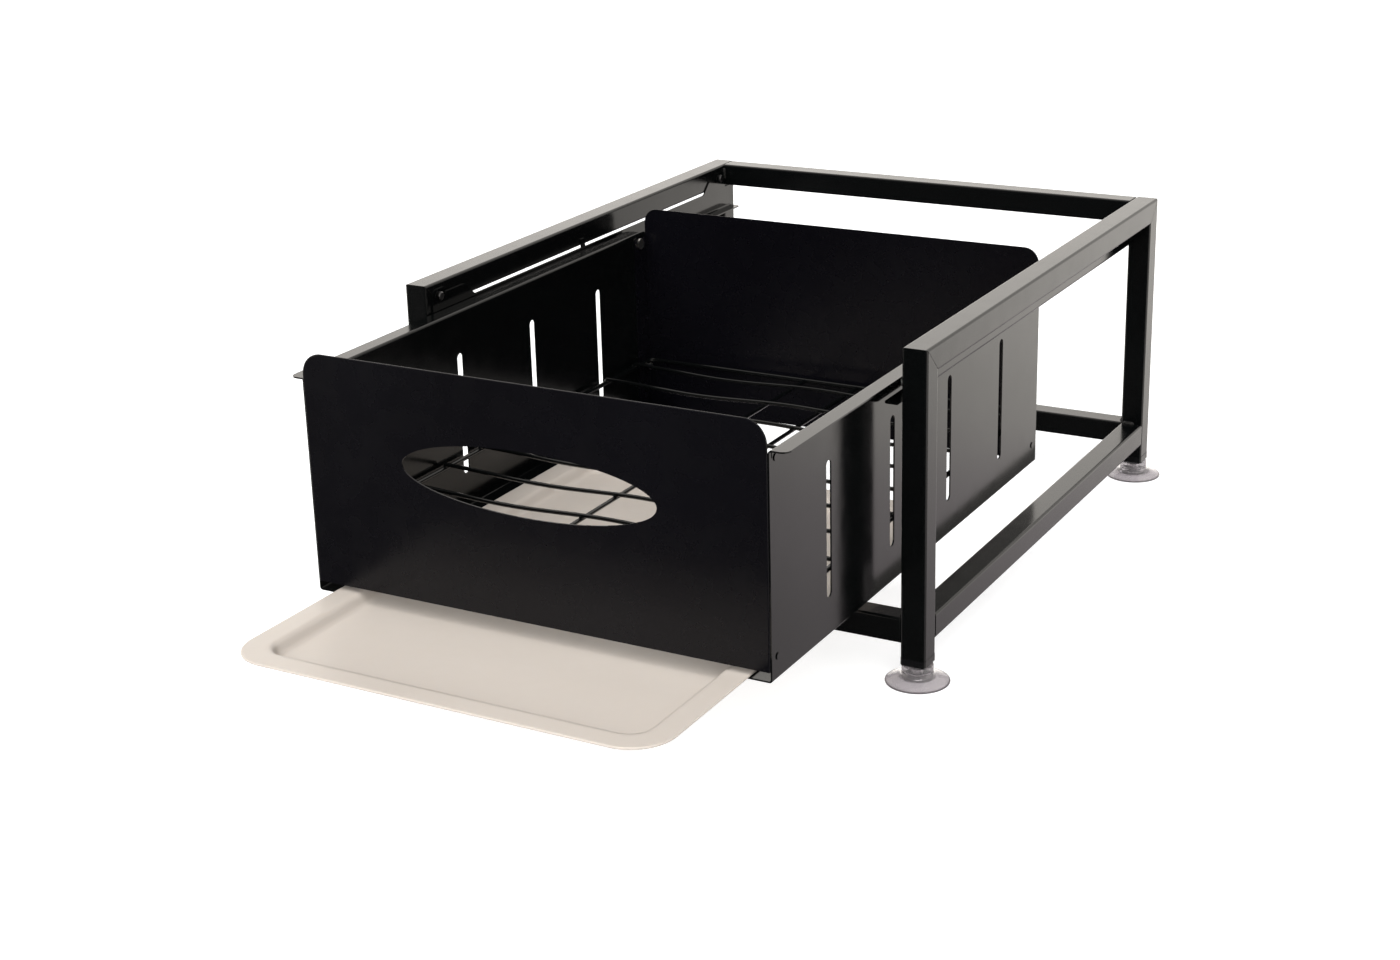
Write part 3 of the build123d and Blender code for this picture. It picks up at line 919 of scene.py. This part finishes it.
@dataclass
class TubeFrame:
    """The stand's welded square tubes.

    Attributes:
        corner: The tube's corner radius.
        groove: How far each tube's end edges are drawn back at a joint, which shows as its seam.
        guard: The distance from a groove to the ring of points that keeps the tube's faces flat.
        lip_steps: How many rings the drawn-back edge has.
    """

    corner: float = 2.0 * MM
    groove: float = 0.28 * MM
    guard: float = 0.6 * MM
    lip_steps: int = 4

    def lip(self) -> List[Pair]:
        """How the section shrinks on a quarter circle towards an end.

        Returns:
            Pairs of how much the section is smaller all round and how far the ring lies from the
            end, from the guard ring to the end's face.
        """
        turn = np.linspace(0, math.pi / 2, self.lip_steps)
        bend = self.groove * np.column_stack([1 - np.cos(turn), 1 - np.sin(turn)])
        return [(0.0, self.groove + self.guard), *map(tuple, bend)]

    def tube(self, node: str, axis: Axis, ends: Tuple[TubeEnd, TubeEnd],
             outer: Optional[Tuple[Axis, int]] = None) -> None:
        """Make one tube: its rounded square section carried between its two cut ends.

        Near an end the section shrinks, so that two ends that meet leave a fine groove. At a
        mitre, a point's place along the tube also moves in by its distance from the tube's outer
        side.

        Args:
            node: The CAD node that it replaces.
            axis: The direction it runs in.
            ends: How its low and high end are cut.
            outer: The direction across it, and the sign, in which its outer side lies.
        """
        low, high = node_box(node)
        run = axis.value
        a, b = [i for i in range(3) if i != run]
        middle = (low + high) / 2
        half = (high - low) / 2
        lip = self.lip()
        rows = [(-1, ends[0], *step) for step in lip[::-1]] + [(1, ends[1], *step) for step in lip]
        grid = []
        for sign, end, shrink, back in rows:
            section = rounded_outline(half[a] - shrink, half[b] - shrink, self.corner - shrink)
            points = np.zeros((len(section), 3))
            points[:, a] = middle[a] + section[:, 0]
            points[:, b] = middle[b] + section[:, 1]
            cut = np.zeros(len(section))
            if end is TubeEnd.MITRE and outer is not None:
                side = outer[0].value
                edge = high[side] if outer[1] > 0 else low[side]
                cut = np.abs(edge - points[:, side])
            points[:, run] = (low[run] if sign < 0 else high[run]) - sign * (cut + back)
            grid.append(points)
        piece = Skin().add(np.array(grid)).mesh(node + "_tube", STAND_PAINT)
        settle(piece, "stand", "stand_paint", node)

    def build(self) -> None:
        """Make every tube of the stand."""
        butt = (TubeEnd.BUTT, TubeEnd.BUTT)
        for hand in ("left", "right"):
            for row, sign in (("front", -1), ("rear", 1)):
                self.tube(f"{row}_{hand}_leg", Axis.Z, (TubeEnd.BUTT, TubeEnd.MITRE), (Axis.Y, sign))
            self.tube(f"{hand}_top_tube", Axis.Y, (TubeEnd.MITRE, TubeEnd.MITRE), (Axis.Z, 1))
            self.tube(f"{hand}_lower_rail", Axis.Y, butt)
        for bar in ("rear_top_bar", "front_lower_bar", "rear_lower_bar"):
            self.tube(bar, Axis.X, butt)


@dataclass
class WeldBeads:
    """Short painted weld beads in the inner corners where the stand's tubes meet.

    Attributes:
        length: A bead's length.
        radius: Its radius.
        ripples: How many ripples it has.
        ripple: How high they are, as a share of the radius.
        tip: The least radius, at its ends.
        steps: How many rings of points it has.
        rail_inset: How far a rail's bead lies inside the rail's middle.
        bar_lift: How far the rear top bar's bead lies above the bar's middle.
    """

    length: float = 11.0 * MM
    radius: float = 3.0 * MM
    ripples: int = 5
    ripple: float = 0.07
    tip: float = 0.02 * MM
    steps: int = 41
    rail_inset: float = 2.5 * MM
    bar_lift: float = 1.5 * MM

    def places(self) -> List[Tuple[Corner, Axis]]:
        """Where the beads are, from the boxes of the tubes that meet there.

        Returns:
            Each bead's middle and the direction it runs in.
        """
        found = []
        for side, sign in (("left", -1), ("right", 1)):
            low, high = node_box(f"{side}_lower_rail")
            across = (low[0] + high[0]) / 2 - sign * self.rail_inset
            found += [((across, y, high[2]), Axis.X) for y in (low[1], high[1])]
        for bar in ("front_lower_bar", "rear_lower_bar"):
            low, high = node_box(bar)
            found += [((x, (low[1] + high[1]) / 2, high[2]), Axis.Y) for x in (low[0], high[0])]
        low, high = node_box("rear_top_bar")
        height = (low[2] + high[2]) / 2 + self.bar_lift
        found += [((x, low[1], height), Axis.Z) for x in (low[0], high[0])]
        return found

    def build(self) -> None:
        """Make all the beads as one piece.

        From t = -1 to 1 along a bead its radius is the square root of 1 - t^4, with a wave on it.
        """
        t = np.linspace(-1, 1, self.steps)
        wave = 1 + self.ripple * np.cos(2 * math.pi * self.ripples * t)
        swell = self.radius * np.sqrt(1 - t ** 4) * wave
        profile = np.column_stack([np.maximum(swell, self.tip), t * self.length / 2])
        skin = Skin()
        for centre, axis in self.places():
            skin.add(turned_grid(profile, centre, axis, segments=24))
        settle(skin.mesh("weld_beads", STAND_PAINT), "stand", "stand_paint")


@dataclass
class SuctionFeet:
    """The four clear suction cups: a grooved neck on a thin flared cup, with a pocket for the stud.

    Attributes:
        rim: The height of the cup's rim.
        neck: The neck's radius.
        top_round: The size of the neck's soft top edge.
        hollow: The height of the hollow under the cup.
        stud: The radius of the stud's hole.
        plate: The radius of the pocket for the stud's plate.
        plate_rise: How far the pocket lies above the hollow.
        plate_height: How high the pocket is.
        pole: The radius at which the outline ends beside the axis.
        edge_width: The width of the cup's edge that is painted darker, a painted shade for clear vinyl seen
            edge on.
        weld: Points closer than this are merged, which closes the outline's two ends.
        top_line: The top edge: how far in and how far down each point lies, in top rounds.
        neck_line: The neck and the groove round it, down to the cup: how far out from the neck's
            radius each point lies, in millimetres, and at what share of the foot's height.
        slope: The cup's back: the shares of the cup's radius and of the foot's height.
        rim_line: The rim: how far in from the cup's radius, in millimetres, and the share of its height.
        hollow_line: The hollow: the shares of the cup's radius and of the hollow's height.
    """

    rim: float = 1.2 * MM
    neck: float = 12.0 * MM
    top_round: float = 1.0 * MM
    hollow: float = 4.2 * MM
    stud: float = 3.0 * MM
    plate: float = 6.0 * MM
    plate_rise: float = 1.5 * MM
    plate_height: float = 2.0 * MM
    pole: float = 0.01 * MM
    edge_width: float = 0.9 * MM
    weld: float = 0.05 * MM
    top_line: Tuple[Pair, ...] = ((1.0, 0.0), (0.2, 0.25), (0.0, 1.0))
    neck_line: Tuple[Pair, ...] = (
        (0.0, 0.70), (-0.5, 0.66), (-0.5, 0.60), (0.1, 0.56), (0.3, 0.46), (1.2, 0.39), (4.0, 0.32),
    )
    slope: Pair = (0.80, 0.20)
    rim_line: Tuple[Pair, ...] = ((1.2, 1.0), (0.2, 0.8), (0.0, 0.5), (0.2, 1 / 12), (1.0, 0.0))
    hollow_line: Tuple[Pair, ...] = ((0.8, 0.42), (0.5, 0.8))

    def outline(self, radius: float, height: float) -> List[Pair]:
        """A foot's outline from the pocket of the stud's plate over its outside to the hollow's top.

        Args:
            radius: The cup's radius.
            height: The foot's height.

        Returns:
            Pairs of a distance from the axis and a height.
        """
        floor = self.hollow + self.plate_rise
        ceiling = floor + self.plate_height
        pocket = [(self.pole, floor), (self.plate, floor), (self.plate, ceiling), (self.stud, ceiling)]
        top = [(self.neck - inset * self.top_round, height - down * self.top_round)
               for inset, down in self.top_line]
        neck = [(self.neck + out * MM, height * share) for out, share in self.neck_line]
        slope = (radius * self.slope[0], height * self.slope[1])
        rim = [(radius - inset * MM, self.rim * share) for inset, share in self.rim_line]
        hollow = [(radius * out, self.hollow * share) for out, share in self.hollow_line]
        inside = [*pocket, (self.stud, height)]
        return [*inside, *top, *neck, slope, *rim, *hollow, (self.pole, self.hollow)]

    def paint_edge_shade(self, cup: bpy.types.Object, middle: np.ndarray, radius: float) -> None:
        """Paint the cup's outermost faces darker: a painted shade for the dark look of clear vinyl seen edge
        on.

        Args:
            cup: The cup.
            middle: A point on its axis.
            radius: Its radius.
        """
        cup.data.materials.append(EDGE_SHADE_VINYL.material())
        centres = np.empty(3 * len(cup.data.polygons), np.float32)
        cup.data.polygons.foreach_get("center", centres)
        away = np.hypot(*(centres.reshape(-1, 3)[:, :2] - middle[:2]).T)
        # The faces within that width of the edge take the painted shade.
        dark = (away > radius - self.edge_width).astype(np.int32)
        cup.data.polygons.foreach_set("material_index", dark)

    def build(self) -> None:
        """Make each foot in place of its node."""
        for corner in CORNERS:
            name = f"{corner}_foot"
            low, high = node_box(name)
            middle = (low + high) / 2
            radius = (high[0] - low[0]) / 2
            outline = self.outline(radius, high[2] - low[2])
            grid = turned_grid(outline, (middle[0], middle[1], low[2]), segments=72)
            cup = Skin().add(grid).mesh(name + "_cup", VINYL, weld=self.weld)
            self.paint_edge_shade(cup, middle, radius)
            settle(cup, "stand", "suction_rubber", name)


# Rack


@dataclass
class WireRack:
    """The lift-out rack: a frame wire, two middle wires and shallow wavy cross wires over them.

    Attributes:
        frame_wire: The frame wire's diameter.
        cross_wire: The other wires' diameter.
        sink: How far crossing wires are melted into each other.
        corner: The radius of the frame's corners at its middle line.
        count: How many cross wires there are.
        front_gap: From the frame wire's middle to the first cross wire.
        rear_gap: The same at the rear.
        spread: How far the middle wires are from the centre.
        waves: How many waves a cross wire has.
        depth: How deep they are.
        nugget: The radius of the weld where two wires cross.
        nugget_end: How far from its pole a nugget's outline ends, in radians.
        nugget_steps: How many rings of points a nugget has.
        cross_steps: How many rings of points a cross wire has.
        middle_steps: How many rings of points a middle wire has.
    """

    frame_wire: float = 4.0 * MM
    cross_wire: float = 3.4 * MM
    sink: float = 0.5 * MM
    corner: float = 6.0 * MM
    count: int = 9
    front_gap: float = 54.4 * MM
    rear_gap: float = 28.9 * MM
    spread: float = 25.5 * MM
    waves: int = 2
    depth: float = 3.0 * MM
    nugget: float = 2.0 * MM
    nugget_end: float = 0.02
    nugget_steps: int = 9
    cross_steps: int = 97
    middle_steps: int = 5

    def dip(self, x: np.ndarray, half: float) -> np.ndarray:
        """How far the wavy wires lie below their crests at a place across the rack."""
        return self.depth * (1 - np.cos(math.pi * self.waves * (x + half) / half)) / 2

    def build(self) -> None:
        """Make the rack in place of its node.

        The frame wire lies lowest. The cross wires lie on it, each dipping on a cosine, and the
        middle wires touch their dips from below. A nugget sits at each crossing.
        """
        low, high = node_box("wire_rack")
        radius = self.frame_wire / 2
        half = high[0] - radius
        front = low[1] + radius
        back = high[1] - radius
        level = low[2] + radius
        skin = Skin()
        ring = rounded_outline(half, (back - front) / 2, self.corner, steps=10)
        path = np.column_stack([ring[:, 0], ring[:, 1] + (front + back) / 2, np.full(len(ring), level)])
        skin.add(wire_grid(path, radius, closed=True, around=18), closed_rows=True)
        cross_level = level + (self.frame_wire + self.cross_wire) / 2 - self.sink
        x = np.linspace(-half, half, self.cross_steps)
        places = np.linspace(front + self.front_gap, back - self.rear_gap, self.count)
        for y in places:
            path = np.column_stack([x, np.full_like(x, y), cross_level - self.dip(x, half)])
            skin.add(wire_grid(path, self.cross_wire / 2))
        y = np.linspace(front, back, self.middle_steps)
        for side in (-self.spread, self.spread):
            height = cross_level - self.dip(np.array(side), half) - self.cross_wire + self.sink
            path = np.column_stack([np.full_like(y, side), y, np.full_like(y, height)])
            skin.add(wire_grid(path, self.cross_wire / 2))
        turn = np.linspace(self.nugget_end, math.pi - self.nugget_end, self.nugget_steps)
        nugget = self.nugget * np.column_stack([np.sin(turn), np.cos(turn)])
        for y in places:
            for across in (-half, -self.spread, self.spread, half):
                joint = cross_level - self.dip(np.array(across), half) - (self.cross_wire - self.sink) / 2
                skin.add(turned_grid(nugget, (across, y, joint), segments=16))
        settle(skin.mesh("rack_wires", RACK_PAINT), "rack", "rack_wire", "wire_rack")


# Tray


@dataclass
class DripTray:
    """The shallow moulded tray: a flat rim with a soft edge, and a sloped hollow.

    Attributes:
        wall: Its thickness.
        round: The radius of its outer corners.
        least_round: The least radius of a corner.
        guard: The distance of the points beside its corners, which keep its straight sides straight.
        rim: The width of its rim.
        run: How far the hollow's wall slopes inwards.
        inner_round: The radius of the hollow's corners at the rim.
        soften: The radius where rim, slope and floor meet.
        stop: How far in from the edge the outline ends, in the flat floor.
        near: How far from a bend's middle its inner points lie, as a share of that radius.
        near_dip: How far those points lie from the bend's flat side, on its sloped side.
        near_ease: The same on its flat side.
        tuck: How far the underside's bends are pressed in.
        upper_bend: How far a bend's end lies from its flat side, on top, as a share of what a straight
            slope would give.
        lower_bend: The same on the underside.
        lip_below: The edge's underside: how far in from the edge and above the underside each point
            lies, in millimetres.
        lip_above: The edge's top: how far in from the edge and below the top, in millimetres.
    """

    wall: float = 2.0 * MM
    round: float = 32.0 * MM
    least_round: float = 4.0 * MM
    guard: float = 4.0 * MM
    rim: float = 18.0 * MM
    run: float = 8.0 * MM
    inner_round: float = 18.0 * MM
    soften: float = 3.4 * MM
    stop: float = 60.0 * MM
    near: float = 0.3
    near_dip: float = 0.5 * MM
    near_ease: float = 0.08 * MM
    tuck: float = 0.15 * MM
    upper_bend: float = 0.85
    lower_bend: float = 0.80
    lip_below: Tuple[Pair, ...] = ((1.6, 0.0), (0.48, 0.15), (0.0, 0.6))
    lip_above: Tuple[Pair, ...] = ((0.0, 0.7), (0.15, 0.35), (0.4, 0.12), (0.8, 0.0), (1.6, 0.0))

    def profile(self, top: float, bottom: float) -> List[Tuple[float, float, float]]:
        """The tray's section from its underside's middle out to its edge and back to the floor's.

        Args:
            top: The height of the rim's top.
            bottom: The height of the floor's underside.

        Returns:
            Triples of the distance in from the outer edge, the height, and how far down the slope
            the point belongs, from 0 at the rim to 1 at the floor.
        """
        under = top - self.wall
        floor = bottom + self.wall
        soft = self.soften
        near = self.near * soft
        fall = (top - floor) * soft / self.run
        upper = self.rim
        lower = self.rim + self.run
        below = [
            (self.stop, bottom, 1.0), (lower + soft, bottom, 1.0), (lower, bottom + self.tuck, 1.0),
            (lower - soft, bottom + self.lower_bend * fall, 0.8),
            (upper + soft, under - self.lower_bend * fall, 0.2),
            (upper, under - self.tuck, 0.0), (upper - soft, under, 0.0),
        ]
        edge = [(inset * MM, under + rise * MM, 0.0) for inset, rise in self.lip_below]
        edge += [(inset * MM, top - down * MM, 0.0) for inset, down in self.lip_above]
        above = [
            (upper - soft, top, 0.0), (upper - near, top - self.near_ease, 0.0),
            (upper + near, top - self.near_dip, 0.04), (upper + soft, top - self.upper_bend * fall, 0.2),
            (lower - soft, floor + self.upper_bend * fall, 0.8),
            (lower - near, floor + self.near_dip, 0.96),
            (lower + near, floor + self.near_ease, 1.0), (lower + soft, floor, 1.0), (self.stop, floor, 1.0),
        ]
        return below + edge + above

    def build(self) -> None:
        """Make the tray in place of its node.

        Each point of the profile becomes a rounded outline. Its corners' radius goes from the
        outer edge's to the hollow's over the rim's width.
        """
        low, high = node_box("drip_tray")
        middle = (low + high) / 2
        half = (high - low) / 2
        grid = []
        for inset, z, share in self.profile(high[2], low[2]):
            outer = max(self.round - inset, self.least_round)
            inner = self.inner_round - self.run * share
            blend = min(inset / self.rim, 1.0)
            corner = outer * (1 - blend) + inner * blend
            ring = rounded_outline(*(half[:2] - inset), corner, steps=14, guard=self.guard)
            grid.append(np.column_stack([ring + middle[:2], np.full(len(ring), z)]))
        piece = Skin().add(np.array(grid)).mesh("tray_shell", TRAY_PLASTIC, sharp=60.0)
        settle(piece, "tray", "tray_plastic", "drip_tray")


# CAD nodes that keep their shape


@dataclass
class KeptNodes:
    """The CAD nodes that show as they are.

    Attributes:
        finishes: The finish that each one gets, by its name.
    """

    finishes: Dict[str, Finish] = field(default_factory=lambda: {
        "drawer_front_panel": PANEL_PAINT,
        "drawer_back_panel": PANEL_PAINT,
        "drawer_left_side": LEFT_PAINT,
        "drawer_right_side": DRAWER_PAINT,
        "drawer_rivets": DRAWER_PAINT,
        "left_drawer_rail": RAIL_PAINT,
        "right_drawer_rail": RAIL_PAINT,
        "rail_screws": SCREW_STEEL,
        "foot_studs": STEEL,
        "front_roller_axles": STEEL,
        "rear_roller_axles": STEEL,
        "rack_supports": STEEL,
        **{f"{corner}_end_cap": CAP_PLASTIC for corner in CORNERS},
        **{f"{corner}_roller": NYLON for corner in CORNERS},
    })

    def build(self) -> None:
        """Assign each finish to its node's material slots."""
        for name, finish in self.finishes.items():
            for place in bpy.data.objects[name].material_slots:
                place.material = finish.material()
            log.info("%s keeps its CAD shape in %s", name, finish.name)


def main() -> None:
    """Build the scene around the CAD model."""
    logging.basicConfig(level=logging.INFO, format="%(message)s")
    PhotoCamera().build()
    Studio().build()
    TubeFrame().build()
    WeldBeads().build()
    SuctionFeet().build()
    WireRack().build()
    DripTray().build()
    KeptNodes().build()


if __name__ == "__main__":
    main()
